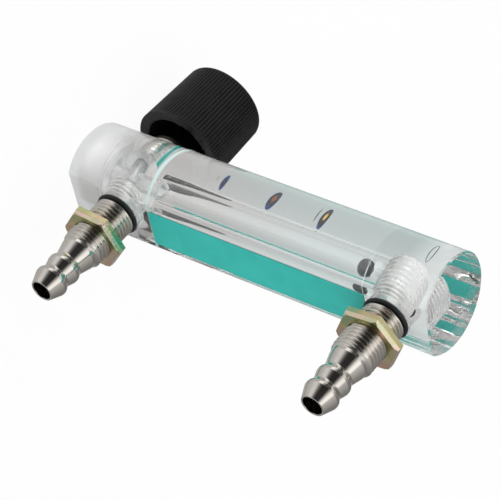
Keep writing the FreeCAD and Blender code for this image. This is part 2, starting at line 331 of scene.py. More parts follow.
def tubeAcrylic():
    # Clear along the scale, with a fine haze on the turned surface at the valve end. There and just
    # below the upper rim the surface is also a little milky, by the clearness at each height in mm.
    look = tubeFinish
    material, tree, shader = newMaterial("tubeAcrylic", Base_Color=look["colour"], IOR=1.49)
    height = partsOf(tree, coordinate(tree))["Z"]
    haze = mapRange(tree, height, look["hazeFrom"], look["hazeTo"], look["haze"], 0.0, "SMOOTHSTEP")
    atEnd = mathOf(tree, "GREATER_THAN", height, tubeLength - look["endSkin"])
    roughness = mathOf(tree, "MULTIPLY_ADD", atEnd, look["endRoughness"], haze)
    tree.links.new(roughness, shader.inputs["Roughness"])
    stops = [(z * mm / tubeLength, (share,) * 3) for z, share in look["clearness"]]
    clearness = colourRamp(tree, mapRange(tree, height, 0.0, tubeLength), stops)
    tree.links.new(clearness, shader.inputs["Transmission Weight"])
    letShadowsThrough(tree, look["shadow"])
    return material


def frostedAcrylic(name, transmission, rough):
    # Sawn, drilled and tapped walls scatter light, so that they show pale through the clear acrylic
    colour = (0.945, 0.94, 0.943)
    material, tree, shader = newMaterial(name, Base_Color=(*colour, 1), IOR=1.49, Specular_IOR_Level=0.2,
                                         Transmission_Weight=transmission)
    tree.links.new(noiseBetween(tree, 500, 2, rough * 0.85, rough * 1.15), shader.inputs["Roughness"])
    letShadowsThrough(tree, colour)
    return material


def softClear():
    # The float's stops, which bend light so little that they hardly show inside the tube
    colour = (0.97, 0.99, 0.985)
    material, tree, shader = newMaterial("softClearAcrylic", Base_Color=(*colour, 1), Roughness=0.0, IOR=1.06,
                                         Transmission_Weight=1.0)
    letShadowsThrough(tree, colour)
    return material


def outsideOnly(tree, strength):
    # A factor that is the strength where a surface round the tube is seen from outside, and 0
    # where it is seen from within: the normal towards the viewer is compared with the radius
    radial = vectorOf(tree, "MULTIPLY", coordinate(tree), (1, 1, 0))
    facing = vectorOf(tree, "DOT_PRODUCT", addNode(tree, "ShaderNodeNewGeometry").outputs["Normal"], radial)
    return mathOf(tree, "MULTIPLY", mathOf(tree, "GREATER_THAN", facing, 0.0), strength)


def filmMaterial(name, colour, strength, roughness, fadeY=None):
    # Clear film: almost all light passes straight through, and only its outer face shows. With a pair of Y
    # values it fades from nothing at the first to its whole strength at the second, so that a painted
    # highlight shows on one side only.
    material, tree, shader = newMaterial(name, Base_Color=(*colour, 1), Roughness=roughness, IOR=1.3)
    alpha = outsideOnly(tree, strength)
    if fadeY:
        alpha = mathOf(tree, "MULTIPLY", alpha, mapRange(tree, partsOf(tree, coordinate(tree))["Y"], *fadeY))
    tree.links.new(alpha, shader.inputs["Alpha"])
    return material


def ovalMark(name, middle, stops):
    # Print seen from outside only, coloured by the distance from the middle of its own UV square,
    # where 1 is the rim
    material, tree, shader = newMaterial(name, Roughness=0.4, Specular_IOR_Level=0.1)
    reach = vectorOf(tree, "LENGTH", vectorOf(tree, "SUBTRACT", coordinate(tree, "UV"), (middle, 0, 0)))
    tree.links.new(colourRamp(tree, reach, stops), shader.inputs["Base Color"])
    tree.links.new(outsideOnly(tree, 1.0), shader.inputs["Alpha"])
    return material


def opaqueFinish(name, bump, patch=None, stops=None, rough=None, **sockets):
    # The bump is noise of (scale, detail, strength, depth in mm), and a stretch if it has one. Stops
    # colour soft patches of (scale, detail) noise, and rough is (scale, detail, low, high).
    material, tree, shader = newMaterial(name, **sockets)
    if stops:
        tree.links.new(colourRamp(tree, noiseBetween(tree, *patch, 0, 1), stops), shader.inputs["Base Color"])
    if rough:
        tree.links.new(noiseBetween(tree, *rough), shader.inputs["Roughness"])
    scale, detail, strength, depth, *stretch = bump
    bumpNode = addNode(tree, "ShaderNodeBump", Strength=strength, Distance=depth * mm)
    tree.links.new(objectNoise(tree, scale, detail, *stretch), bumpNode.inputs["Height"])
    tree.links.new(bumpNode.outputs["Normal"], shader.inputs["Normal"])
    return material


printBump = (2000, 2, 0.05, 0.02)
turnedBump = (900, 2, 0.15, 0.03, (1, 8, 1))

# Yellow passivated zinc is olive gold that drifts to pink and green in soft patches. The strip is
# the sheared part of a nut's flats: paler, with fine marks that run along Y.
opaqueLook = {
    "teal": {"name": "tealPrint", "Roughness": 0.42, "bump": (1500, 2, 0.05, 0.02), "patch": (240, 4),
             "stops": [(0, (0.014, 0.500, 0.435)), (1, (0.020, 0.560, 0.490))]},
    "nickel": {"name": "nickelPlate", "Metallic": 1.0, "bump": (500, 3, 0.06, 0.03, (1, 5, 1)),
               "patch": (160, 3), "stops": [(0, (0.63, 0.60, 0.56)), (1, (0.72, 0.69, 0.65))],
               "rough": (420, 4, 0.05, 0.12)},
    "zinc": {"name": "yellowZinc", "Metallic": 1.0, "bump": (900, 3, 0.18, 0.05), "patch": (150, 1.5),
             "stops": [(0, (0.30, 0.52, 0.34)), (0.35, (0.56, 0.53, 0.26)), (0.6, (0.66, 0.60, 0.36)),
                       (0.8, (0.72, 0.47, 0.36)), (1, (0.60, 0.56, 0.42))],
             "rough": (500, 3, 0.18, 0.34)},
    "strip": {"name": "zincStrip", "Metallic": 1.0, "Roughness": 0.22, "patch": (260, 1.5),
              "bump": (1600, 1, 0.5, 0.08, (1, 0.06, 1)),
              "stops": [(0, (0.54, 0.68, 0.52)), (0.35, (0.72, 0.66, 0.42)), (0.55, (0.80, 0.68, 0.54)),
                        (0.75, (0.84, 0.60, 0.54)), (1, (0.78, 0.72, 0.62))]},
    "rubber": {"name": "blackRubber", "Base_Color": (0.008, 0.008, 0.009, 1), "Roughness": 0.5,
               "bump": (1800, 3, 0.2, 0.04)},
    "knob": {"name": "blackPlastic", "Specular_IOR_Level": 0.3, "bump": (2600, 4, 0.25, 0.05),
             "patch": (300, 5), "stops": [(0, (0.0035, 0.0035, 0.004)), (1, (0.008, 0.008, 0.0085))],
             "rough": (600, 4, 0.24, 0.4)},
    "steel": {"name": "spindleSteel", "Metallic": 1.0, "Base_Color": (0.55, 0.55, 0.56, 1),
              "rough": (700, 3, 0.175, 0.325), "bump": turnedBump},
    "float": {"name": "floatSteel", "Metallic": 1.0, "Base_Color": (0.06, 0.06, 0.065, 1),
              "rough": (700, 3, 0.21, 0.39), "bump": turnedBump},
    "brass": {"name": "insertBrass", "Metallic": 1.0, "Base_Color": (0.70, 0.52, 0.24, 1),
              "rough": (700, 3, 0.21, 0.39), "bump": turnedBump},
    "milky": {"name": "milkyAcrylic", "Base_Color": (0.92, 0.92, 0.925, 1), "Roughness": 0.3,
              "Subsurface_Weight": 0.5, "Subsurface_Radius": (2 * mm, 2 * mm, 2 * mm),
              "bump": (800, 3, 0.1, 0.05)},
    "silicone": {"name": "milkyRubber", "Base_Color": (0.82, 0.84, 0.84, 1), "Roughness": 0.45,
                 "Subsurface_Weight": 0.3, "Subsurface_Radius": (mm, mm, mm), "bump": (1500, 2, 0.1, 0.03)},
    "nylon": {"name": "seatNylon", "Base_Color": (0.75, 0.74, 0.70, 1), "Roughness": 0.45, "bump": printBump},
    "fineLine": {"name": "finePrint", "Base_Color": (0.03, 0.035, 0.04, 1), "Roughness": 0.5,
                 "bump": printBump},
    "black": {"name": "blackPrint", "Base_Color": (0.006, 0.006, 0.008, 1), "Roughness": 0.8,
              "bump": printBump},
}

finish = {
    "tube": tubeAcrylic(),
    "threaded": frostedAcrylic("threadedAcrylic", 0.70, 0.30),
    "plugThread": frostedAcrylic("plugThreadAcrylic", 0.45, 0.5),
    "drilled": frostedAcrylic("drilledAcrylic", 0.8, 0.6),
    "sawn": frostedAcrylic("sawnAcrylic", 0.3, 0.5),
    "film": filmMaterial("clearFilm", (0.97, 0.99, 0.99), 0.03, 0.05),
    "softClear": softClear(),
    # The film's two edge bands are painted highlights: pale, partly clear colour where the film's edges catch
    # the light. The lower band is pale teal, and the upper band shows only towards +Y.
    "lowerEdgeHighlight": filmMaterial("filmLowerEdgeHighlight", (0.62, 0.80, 0.79), 0.45, 0.3),
    "upperEdgeHighlight": filmMaterial("filmUpperEdgeHighlight", (0.9, 0.92, 0.92), 0.4, 0.3, (3.0 * mm, 6.5 * mm)),
    "firstMark": ovalMark("firstMark", 0.0, [(0, (0.020, 0.022, 0.036)), (0.6, (0.012, 0.016, 0.034)),
                                             (0.85, (0.028, 0.055, 0.20)), (1, (0.05, 0.10, 0.30))]),
    "secondMark": ovalMark("secondMark", 0.12, [(0, (0.28, 0.105, 0.035)), (0.30, (0.20, 0.055, 0.022)),
                                                (0.46, (0.030, 0.026, 0.030)), (0.75, (0.016, 0.026, 0.038)),
                                                (1, (0.022, 0.06, 0.19))]),
    "thirdMark": ovalMark("thirdMark", 0.10, [(0, (0.62, 0.44, 0.105)), (0.24, (0.52, 0.34, 0.06)),
                                              (0.42, (0.045, 0.020, 0.018)), (0.75, (0.020, 0.020, 0.026)),
                                              (1, (0.03, 0.055, 0.16))]),
}
for key, look in opaqueLook.items():
    finish[key] = opaqueFinish(**look)
print("materials made")


# The tube: its outer skin, less the bore, the ports and the valve hole

tubeLook = {"facets": 480, "levels": 40, "edge": 0.35 * mm, "threadPitch": 1.05 * mm,
            "threadDepth": 0.22 * mm, "holeFacets": 128, "boreFacets": 160, "overlap": 0.2 * mm,
            "beyond": 1 * mm, "plugLead": 0.6 * mm, "portLead": 0.4 * mm}
portHole = {"radius": 5.06 * mm, "lowerBottom": flatAt - 6.0 * mm, "upperBottom": flatAt - 11.2 * mm}
boreShape = {"start": 20.5 * mm, "end": upperPort, "low": 2.3 * mm, "high": 2.5 * mm, "forward": 0.5 * mm,
             "passage": 1.2 * mm, "plugTop": 7.4 * mm, "plugRadius": 5.06 * mm}
valveShape = {"spotFace": 10.4 * mm, "spotRadius": 6.3 * mm, "threadRadius": 4.55 * mm,
              "threadEnd": 3.0 * mm, "chamber": 1.9 * mm, "seat": 2.25 * mm, "seatAt": 1.9 * mm}


def outerSkin():
    edge = tubeLook["edge"]
    levels = [(edge, 0), (0, edge)]
    levels += [(0, height) for height in np.linspace(edge, tubeLength - edge, tubeLook["levels"])[1:]]
    levels += [(edge, tubeLength)]
    return closeMesh(meshFromGrid("outerSkin", extrudedSection(levels, tubeLook["facets"])))


def boreCutter():
    # The tapered bore and, below it, the gas passage down into the plug hole
    shape = boreShape
    bottom = shape["plugTop"] - tubeLook["overlap"]
    profile = [(0, bottom), (shape["passage"], bottom), (shape["passage"], shape["start"]),
               (shape["low"], shape["start"]), (shape["high"], shape["end"]), (0, shape["end"])]
    grid = turnedUpright(np.array(profile), tubeLook["boreFacets"], -shape["forward"])
    return closeMesh(meshFromGrid("boreCutter", grid))


def plugCutter():
    radius = boreShape["plugRadius"]
    top = boreShape["plugTop"]
    mouth = -tubeLook["beyond"]
    profile = [(0, mouth), (radius, mouth), (radius, top), (0, top)]
    profile = threadedWall(profile, tubeLook["plugLead"], top, radius, tubeLook["threadPitch"],
                           tubeLook["threadDepth"])
    return closeMesh(meshFromGrid("plugCutter", turnedUpright(profile, tubeLook["holeFacets"])))


def portCutter(height, bottom):
    radius = portHole["radius"]
    mouth = flatAt + tubeLook["beyond"]
    profile = [(0, bottom), (radius, bottom), (radius, mouth), (0, mouth)]
    profile = threadedWall(profile, bottom, flatAt - tubeLook["portLead"], radius, tubeLook["threadPitch"],
                           tubeLook["threadDepth"])
    return closeMesh(meshFromGrid("portCutter", turnedAcross(profile, height, tubeLook["holeFacets"])))


def valveCutter():
    # From outside inwards: spot face, thread, chamber and seat, as far as the lower port
    shape = valveShape
    outside = -2 * tubeRadius
    bottom = portHole["lowerBottom"] + tubeLook["overlap"]
    profile = [(0, outside), (shape["spotRadius"], outside), (shape["spotRadius"], -shape["spotFace"]),
               (shape["threadRadius"], -shape["spotFace"]), (shape["threadRadius"], -shape["threadEnd"]),
               (shape["chamber"], -shape["threadEnd"]), (shape["chamber"], shape["seatAt"]),
               (shape["seat"], shape["seatAt"]), (shape["seat"], bottom), (0, bottom)]
    grid = turnedAcross(np.array(profile), valveAt, tubeLook["holeFacets"])
    return closeMesh(meshFromGrid("valveCutter", grid))


def cutTube():
    skin = addObject("tubeWork", outerSkin())
    cutters = [boreCutter(), plugCutter(), portCutter(lowerPort, portHole["lowerBottom"]),
               portCutter(upperPort, portHole["upperBottom"]), valveCutter()]
    helpers = []
    for mesh in cutters:
        helper = addObject("cutterWork", mesh)
        helpers.append(helper)
        cut = skin.modifiers.new("cut", "BOOLEAN")
        cut.operation = "DIFFERENCE"
        cut.solver = "EXACT"
        cut.object = helper
    graph = bpy.context.evaluated_depsgraph_get()
    mesh = bpy.data.meshes.new_from_object(skin.evaluated_get(graph))
    for helper in helpers + [skin]:
        bpy.data.objects.remove(helper)
    mesh.materials.clear()
    return mesh


wallLook = {"inner": 4.9 * mm, "outer": 5.6 * mm, "mouth": 0.2 * mm, "margin": 0.1 * mm,
            "endSkin": 0.02 * mm, "drilledFrom": 2 * mm}


def makeTube():
    # The cut tube. Each face gets its finish by where its centre lies: the sawn end, the threads of
    # the ports and of the plug hole, and the drilled walls of the passage and of the valve chamber.
    look = wallLook
    margin = look["margin"]
    mesh = cutTube()
    tube = placeMesh("tubeBody", mesh, ["tube", "sawn", "threaded", "drilled", "plugThread"], 25)
    x, y, z = faceCentres(mesh).T
    pick = np.where(z < look["endSkin"], 1, 0)
    for height, bottom in ((lowerPort, portHole["lowerBottom"]), (upperPort, portHole["upperBottom"])):
        reach = np.hypot(x, z - height)
        wall = (reach > look["inner"]) & (reach < look["outer"]) & (y < flatAt - look["mouth"])
        pick[wall & (y > bottom - margin)] = 2
    reach = np.hypot(x, y)
    wall = (reach > look["inner"]) & (reach < look["outer"]) & (z < boreShape["plugTop"])
    pick[wall & (z > look["endSkin"])] = 4
    reach = np.hypot(x, y + boreShape["forward"])
    passage = (reach < boreShape["low"]) & (z < boreShape["start"] + margin) & (z > look["drilledFrom"])
    pick[passage] = 3
    reach = np.hypot(x, z - valveAt)
    chamber = (reach < valveShape["seat"] + margin) & (y < portHole["lowerBottom"] + margin)
    pick[chamber & (y > -valveShape["threadEnd"] - margin)] = 3
    mesh.polygons.foreach_set("material_index", pick.astype(np.int32))
    finishPiece(tube, "tube", "clear_acrylic", "metering_tube")


makeTube()
print("tube cut")


# Film, colour strip and marks

# borderLow and borderHigh are how far the painted-highlight bands reach in from the film's lower and upper
# edges
filmLook = {"borderLow": 0.85 * mm, "borderHigh": 0.22 * mm, "thickness": 0.1 * mm, "lift": 0.02 * mm}
filmLow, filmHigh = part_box("scale_film")


def sleeve(name, low, high, material):
    # A thin D-shaped sleeve between two insets of the tube's section
    inner = filmLook["lift"]
    outer = inner + filmLook["thickness"]
    grid = extrudedSection([(-outer, low), (-outer, high), (-inner, high), (-inner, low)])
    return gridPiece(name, grid, [material], wrapRows=True)


def makeFilm():
    low = filmLow.z
    high = filmHigh.z
    lowBorder = low + filmLook["borderLow"]
    highBorder = high - filmLook["borderHigh"]
    finishPiece(sleeve("scaleFilm", lowBorder, highBorder, "film"), "tube", "clear_film", "scale_film")
    # The two edge sleeves carry the painted highlights of the film's edges
    for name, start, end in (("lowerEdgeHighlight", low, lowBorder), ("upperEdgeHighlight", highBorder, high)):
        finishPiece(sleeve(name, start, end, name), "tube", "clear_film")


contactLook = {"deep": 0.02 * mm, "shallow": 0.01 * mm}


def makeStrip():
    low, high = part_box("colour_strip")
    mesh = closeMesh(boxMesh("tealStrip", low, high))
    finishPiece(placeMesh("tealStrip", mesh, ["teal"]), "tube", "teal_print", "colour_strip")
    # The strip is glued on, so from within the acrylic it shows at every angle: a thin layer of it
    # lies just under the flat
    contact = boxMesh("tealContact", (low.x, flatAt - contactLook["deep"], low.z),
                      (high.x, flatAt - contactLook["shallow"], high.z))
    finishPiece(placeMesh("tealContact", closeMesh(contact), ["teal"]), "tube", "teal_print")


# Marks and lines have the (arc, height) of their two tips and a width, with the arc counted from
# +X. Rings have their centre, the tip of their long half axis, their short half axis and a line
# width. All are in mm.

printLift = 0.01 * mm
ringLift = 0.012 * mm
markLook = {"firstMark": ((2.40, 38.82), (-2.67, 38.16), 1.28),
            "secondMark": ((2.92, 51.71), (-3.25, 51.57), 2.17),
            "thirdMark": ((3.03, 65.14), (-3.84, 64.55), 1.76)}
lineLook = {"lineByFirst": ((0.36, 36.54), (-1.26, 36.39), 0.10),
            "lineByThird": ((1.61, 63.20), (-2.84, 62.64), 0.26),
            "dotByThird": ((3.60, 65.15), (3.38, 65.10), 0.30)}
zeroLook = {"zeroByRim": ((-1.65, 90.85), (-2.95, -0.3), 0.55, 0.16),
            "zeroInFront": ((-24.1, 84.4), (0.0, 1.1), 0.6, 0.2),
            "tickOne": ((-15.8, 84.0), (0.0, 0.5), 0.06, 0.12),
            "tickTwo": ((-17.6, 84.1), (0.0, 0.5), 0.06, 0.12),
            "tickThree": ((-19.4, 84.2), (0.0, 0.6), 0.06, 0.12)}
dashLook = {"start": (2.7, 91.25), "end": (5.9, 92.95), "bow": 0.25, "halfWidth": 0.22}


def lensPatch(name, start, end, width, material):
    # A lens between two tips: v runs from tip to tip and the half width is sqrt(1 - v^2)
    along = np.linspace(-1, 1, 41)[:, None]
    across = np.linspace(-1, 1, 13)[None, :]
    start = np.array(start) * mm
    end = np.array(end) * mm
    line = (start + end) / 2 + (end - start) / 2 * along[:, :, None]
    side = width * mm / 2 * np.sqrt(1 - along ** 2) * across
    grid = cylinderPatch(line[..., 0] + 0 * side, line[..., 1] + side, tubeRadius + printLift)
    mesh = meshFromGrid(name, grid, wrapColumns=False)
    layer = mesh.uv_layers.new(name="UVMap")
    index = np.empty(len(mesh.loops), np.int32)
    mesh.loops.foreach_get("vertex_index", index)
    place = np.stack([along + 0 * across, np.sqrt(1 - along ** 2) * across], -1).reshape(-1, 2)[index]
    layer.data.foreach_set("uv", place.ravel())
    finishPiece(placeMesh(name, mesh, [material]), "tube", "black_plastic")


def ringMark(name, centre, tip, half, line):
    # A closed stroke round an ellipse: the tip is its long half axis in (arc, height), half its short
    # half axis, and the stroke's two rims lie half a line to each side
    turn = np.linspace(0, 2 * np.pi, 72, endpoint=False)[None, :]
    lengthwise = np.array(tip) * mm
    reach = np.linalg.norm(lengthwise)
    lengthwise = lengthwise / reach
    crosswise = np.array([-lengthwise[1], lengthwise[0]])
    rim = np.array([-0.5, 0.5])[:, None] * line * mm
    ahead = ((reach + rim) * np.cos(turn))[..., None] * lengthwise
    aside = ((half * mm + rim) * np.sin(turn))[..., None] * crosswise
    place = ahead + aside + np.array(centre) * mm
    mesh = meshFromGrid(name, cylinderPatch(place[..., 0], place[..., 1], tubeRadius + ringLift))
    finishPiece(placeMesh(name, mesh, ["black"]), "tube", "black_plastic")


def dashOnFlat():
    # A short curved stroke on the flat: its middle bows sideways and its half width is sqrt(1 - v^2)
    look = dashLook
    start = np.array(look["start"]) * mm
    end = np.array(look["end"]) * mm
    along = np.linspace(-1, 1, 31)[:, None]
    side = np.linspace(-1, 1, 5)[None, :]
    line = (start + end) / 2 + (end - start) / 2 * along[..., None]
    normal = np.array([-(end - start)[1], (end - start)[0]]) / np.linalg.norm(end - start)
    bow = look["bow"] * mm * (1 - along ** 2)
    width = look["halfWidth"] * mm * np.sqrt(1 - along ** 2) * side
    place = line + (bow + width)[..., None] * normal
    grid = np.stack([place[..., 0], np.full(place.shape[:2], flatAt + printLift), place[..., 1]], -1)
    mesh = meshFromGrid("dashOnFlat", grid, wrapColumns=False)
    finishPiece(placeMesh("dashOnFlat", mesh, ["black"]), "tube", "black_plastic")


def makeMarks():
    for name, (start, end, width) in markLook.items():
        lensPatch(name, start, end, width, name)
    for name, (start, end, width) in lineLook.items():
        lensPatch(name, start, end, width, "fineLine")
    for name, (centre, tip, half, line) in zeroLook.items():
        ringMark(name, centre, tip, half, line)
    dashOnFlat()


makeFilm()
makeStrip()
makeMarks()
print("film, strip and marks placed")


# Hose fittings

threadShare = 0.97
fittingLook = {"facets": 144, "pitch": 1.05 * mm, "depth": 0.58 * mm, "threadEnd": 0.1 * mm,
               "rounding": 0.35 * mm, "step": 0.075 * mm, "innerStep": 0.4 * mm,
               "shankEnd": 14.0 * mm, "threadRadius": 5.0 * mm, "lead": 0.5 * mm, "groove": 4.42 * mm,
               "neckTop": 4.35 * mm, "shoulder": 0.95 * mm, "neckLength": 4.36 * mm, "neckRoot": 3.4 * mm,
               "crest": 4.0 * mm, "barbRoot": 3.3 * mm, "barbPitch": 4.25 * mm, "rise": 1.2 * mm,
               "land": 0.8 * mm, "tipLength": 5.1 * mm, "tipRadius": 2.75 * mm, "bore": 2.36 * mm,
               "boreDepth": 20.0 * mm, "jet": 1.3 * mm, "inner": 5.4 * mm, "ring": 1.05 * mm,
               "ringLead": 0.3 * mm}


def fittingProfile():
    # The (radius, y) path: thread, seal groove, panel thread, neck and two barbs to the tip, then
    # back down the bore and the jet, whose walls are spaced more widely
    look = fittingLook
    neck = look["shankEnd"] + look["neckLength"]
    barb = neck + look["barbPitch"]
    tip = barb + look["tipLength"]
    lead = look["lead"]
    outside = [(look["threadRadius"] - lead, -look["inner"]), (look["threadRadius"], -look["inner"] + lead),
               (look["threadRadius"], -look["ringLead"]), (look["groove"], 0), (look["groove"], look["ring"]),
               (look["threadRadius"], look["ring"] + look["ringLead"]),
               (look["threadRadius"], look["shankEnd"] - lead),
               (look["threadRadius"] - lead, look["shankEnd"]),
               (look["neckTop"], look["shankEnd"] + look["threadEnd"]),
               (look["neckTop"], look["shankEnd"] + look["shoulder"]),
               (look["neckRoot"], neck), (look["crest"], neck + look["rise"]),
               (look["crest"], neck + look["rise"] + look["land"]), (look["barbRoot"], barb),
               (look["crest"], barb + look["rise"]), (look["crest"], barb + look["rise"] + look["land"]),
               (look["tipRadius"], tip), (look["bore"], tip)]
    inside = [(look["bore"], tip - look["boreDepth"]), (look["jet"], tip - look["boreDepth"]),
              (look["jet"], -look["inner"]), (look["threadRadius"] - lead, -look["inner"])]
    profile = roundProfile(outside + inside, look["rounding"])
    profile[:, 1] += flatAt
    turnedSide = int(np.argmax(profile[:, 1])) + 1
    return np.concatenate([denseProfile(profile[:turnedSide], look["step"]),
                           denseProfile(profile[turnedSide:], look["innerStep"])])


def threadedGrid(profile, height, facets, threadRadius, threads):
    # The profile carried round its line, with the threads only where it is about as wide as they are
    outer = profile[:, 0] > threadRadius * threadShare
    return np.where(outer[:, None, None], turnedAcross(profile, height, facets, threads),
                    turnedAcross(profile, height, facets))


def makeFitting(name, height, node):
    look = fittingLook
    cut = (look["pitch"], look["depth"])
    start = flatAt + look["ring"] + look["ringLead"]
    threads = [(flatAt - look["inner"], flatAt - look["ringLead"], *cut),
               (start, flatAt + look["shankEnd"] - look["threadEnd"], *cut)]
    grid = threadedGrid(fittingProfile(), height, look["facets"], look["threadRadius"], threads)
    finishPiece(gridPiece(name, grid, ["nickel"], 70), "tube", "nickel_plate", node)


def makeSeal(name, node, body):
    # A ring round a line along Y: a circle as wide as the CAD box is deep, carried round
    low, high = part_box(node)
    section = high.y - low.y
    angle = np.linspace(0, 2 * np.pi, 28, endpoint=False)
    profile = np.stack([high.x - section / 2 + section / 2 * np.cos(angle),
                        (low.y + high.y) / 2 + section / 2 * np.sin(angle)], 1)
    grid = turnedAcross(profile, (low.z + high.z) / 2, 112)
    finishPiece(gridPiece(name, grid, ["rubber"], 80, True), body, "black_rubber", node)


makeFitting("lowerFitting", lowerPort, "lower_fitting")
makeFitting("upperFitting", upperPort, "upper_fitting")
for name, node, body in (("lowerFittingSeal", "lower_fitting_seal", "tube"),
                         ("upperFittingSeal", "upper_fitting_seal", "tube"),
                         ("bonnetSeal", "bonnet_seal", "tube"),
                         ("spindleSeal", "spindle_seal", "spindle_carrier")):
    makeSeal(name, node, body)
print("fittings turned")


# Panel nuts

nutLook = {"flats": 13.8 * mm, "bore": 5.06 * mm, "back": 0.2 * mm, "thickness": 2.3 * mm, "edge": 0.1 * mm,
           "strip": 0.95 * mm, "draft": 0.16 * mm, "cone": 7.3 * mm, "stripFrom": 6.6 * mm,
           "skin": 0.001 * mm}
glandLook = {"flats": 8.0 * mm, "bore": 2.06 * mm, "strip": 0.3 * mm, "draft": 0.1 * mm, "edge": 0.1 * mm,
             "cone": 6.0 * mm}
nutShading = 12


def nutGrid(low, high, turn, height, look):
    # Outer radius: the hexagon's reach at each angle, less an inset at each level. The strip near the
    # front leans in by the draft, and a cone takes the front corners off. The two faces run in from
    # there to the bore.
    edge = look["edge"]
    draft = look["draft"]
    neck = high - look["strip"]
    angle = np.linspace(0, 2 * np.pi, 360, endpoint=False)[None, :] + math.radians(turn)
    levels = np.array([(edge, low), (0, low + edge), (0, neck - edge), (edge / 2, neck), (draft, high - edge),
                       (draft + edge, high)])
    levels = denseProfile(levels, 0.12 * mm)
    across = np.pi / 6 - (angle - math.radians(turn)) % (np.pi / 3)
    outer = (look["flats"] / 2 - levels[:, :1]) / np.cos(across)
    outer = np.minimum(outer, look["cone"] + 1.5 * (high - levels[:, 1:]))
    side = np.stack([outer * np.cos(angle), levels[:, 1:] + 0 * outer, height + outer * np.sin(angle)], 2)
    share = np.linspace(0, 1, 12)[1:, None]
    rings = []
    for rim, y in ((outer[-1], high), (outer[0], low)):
        radius = rim[None, :] * (1 - share) + look["bore"] * share
        rings.append(np.stack([radius * np.cos(angle), np.full_like(radius, y),
                               height + radius * np.sin(angle)], 2))
    return np.concatenate([side, rings[0], rings[1][::-1]])


def makeNut(name, node, turn, height, body):
    # The flats' strip near the front has its own finish
    look = nutLook
    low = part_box(node)[0].y + look["back"]
    high = low + look["thickness"]
    grid = nutGrid(low, high, turn, height, look)
    piece = gridPiece(name, grid, ["zinc", "strip"], nutShading, True)
    x, y, z = faceCentres(piece.data).T
    strip = (y > high - look["strip"]) & (y < high - look["skin"])
    strip &= np.hypot(x, z - height) > look["stripFrom"]
    piece.data.polygons.foreach_set("material_index", strip.astype(np.int32))
    finishPiece(piece, body, "yellow_zinc", node)


def makeGlandNut():
    low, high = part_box("gland_nut")
    grid = nutGrid(low.y, high.y, 0, valveAt, glandLook)
    finishPiece(gridPiece("glandNut", grid, ["steel"], nutShading, True), "tube", "nickel_plate", "gland_nut")


# The turns are in degrees about each fitting's line
for name, node, turn, height, body in (("lowerPanelNut", "lower_panel_nut", 36, lowerPort, "lower_nut"),
                                       ("upperPanelNut", "upper_panel_nut", 24.8, upperPort, "upper_nut")):
    makeNut(name, node, turn, height, body)
makeGlandNut()
print("nuts shaped")


# Valve: bonnet, spindle, seat and the knob

valveLook = {"pitch": 0.9 * mm, "depth": 0.4 * mm, "threadRadius": 4.5 * mm, "inner": 3.6 * mm,
             "ringStart": 9.4 * mm, "groove": 3.5 * mm, "spotFace": 10.4 * mm, "flange": 5.8 * mm,
             "flangeEnd": 11.8 * mm, "neck": 5.3 * mm, "neckEnd": 16.2 * mm, "bore": 2.05 * mm,
             "lead": 0.5 * mm, "rounding": 0.2 * mm, "step": 0.1 * mm, "facets": 112}


def makeBonnet():
    look = valveLook
    lead = look["lead"]
    path = [(look["bore"], look["inner"]), (look["threadRadius"] - lead, look["inner"]),
            (look["threadRadius"], look["inner"] + lead), (look["threadRadius"], look["ringStart"]),
            (look["groove"], look["ringStart"]), (look["groove"], look["spotFace"]),
            (look["flange"], look["spotFace"]), (look["flange"], look["flangeEnd"]),
            (look["neck"], look["flangeEnd"]), (look["neck"], look["neckEnd"]),
            (look["bore"], look["neckEnd"]), (look["bore"], look["inner"])]
    profile = denseProfile(roundProfile(path, look["rounding"]), look["step"])
    profile[:, 1] *= -1
    threads = [(-look["ringStart"], -look["inner"] - lead, look["pitch"], look["depth"])]
    grid = threadedGrid(profile, valveAt, look["facets"], look["threadRadius"], threads)
    finishPiece(gridPiece("valveBonnet", grid, ["nickel"], 50), "tube", "nickel_plate", "valve_bonnet")


knobLook = {"ribs": 78, "ribFacets": 10, "ribDepth": 0.3 * mm, "ribPower": 0.75, "ribStart": 0.25 * mm,
            "rounding": 0.35 * mm, "step": 0.7 * mm, "rim": 10.89 * mm, "end": 10.36 * mm,
            "rimAt": 13.97 * mm, "faceAt": 32.6 * mm, "edge": 1.0 * mm, "recess": 8.3 * mm,
            "floorAt": 23.0 * mm, "hub": 4.6 * mm,
            "hubAt": 21.0 * mm, "socket": 3.4 * mm, "socketFloor": 31.1 * mm}


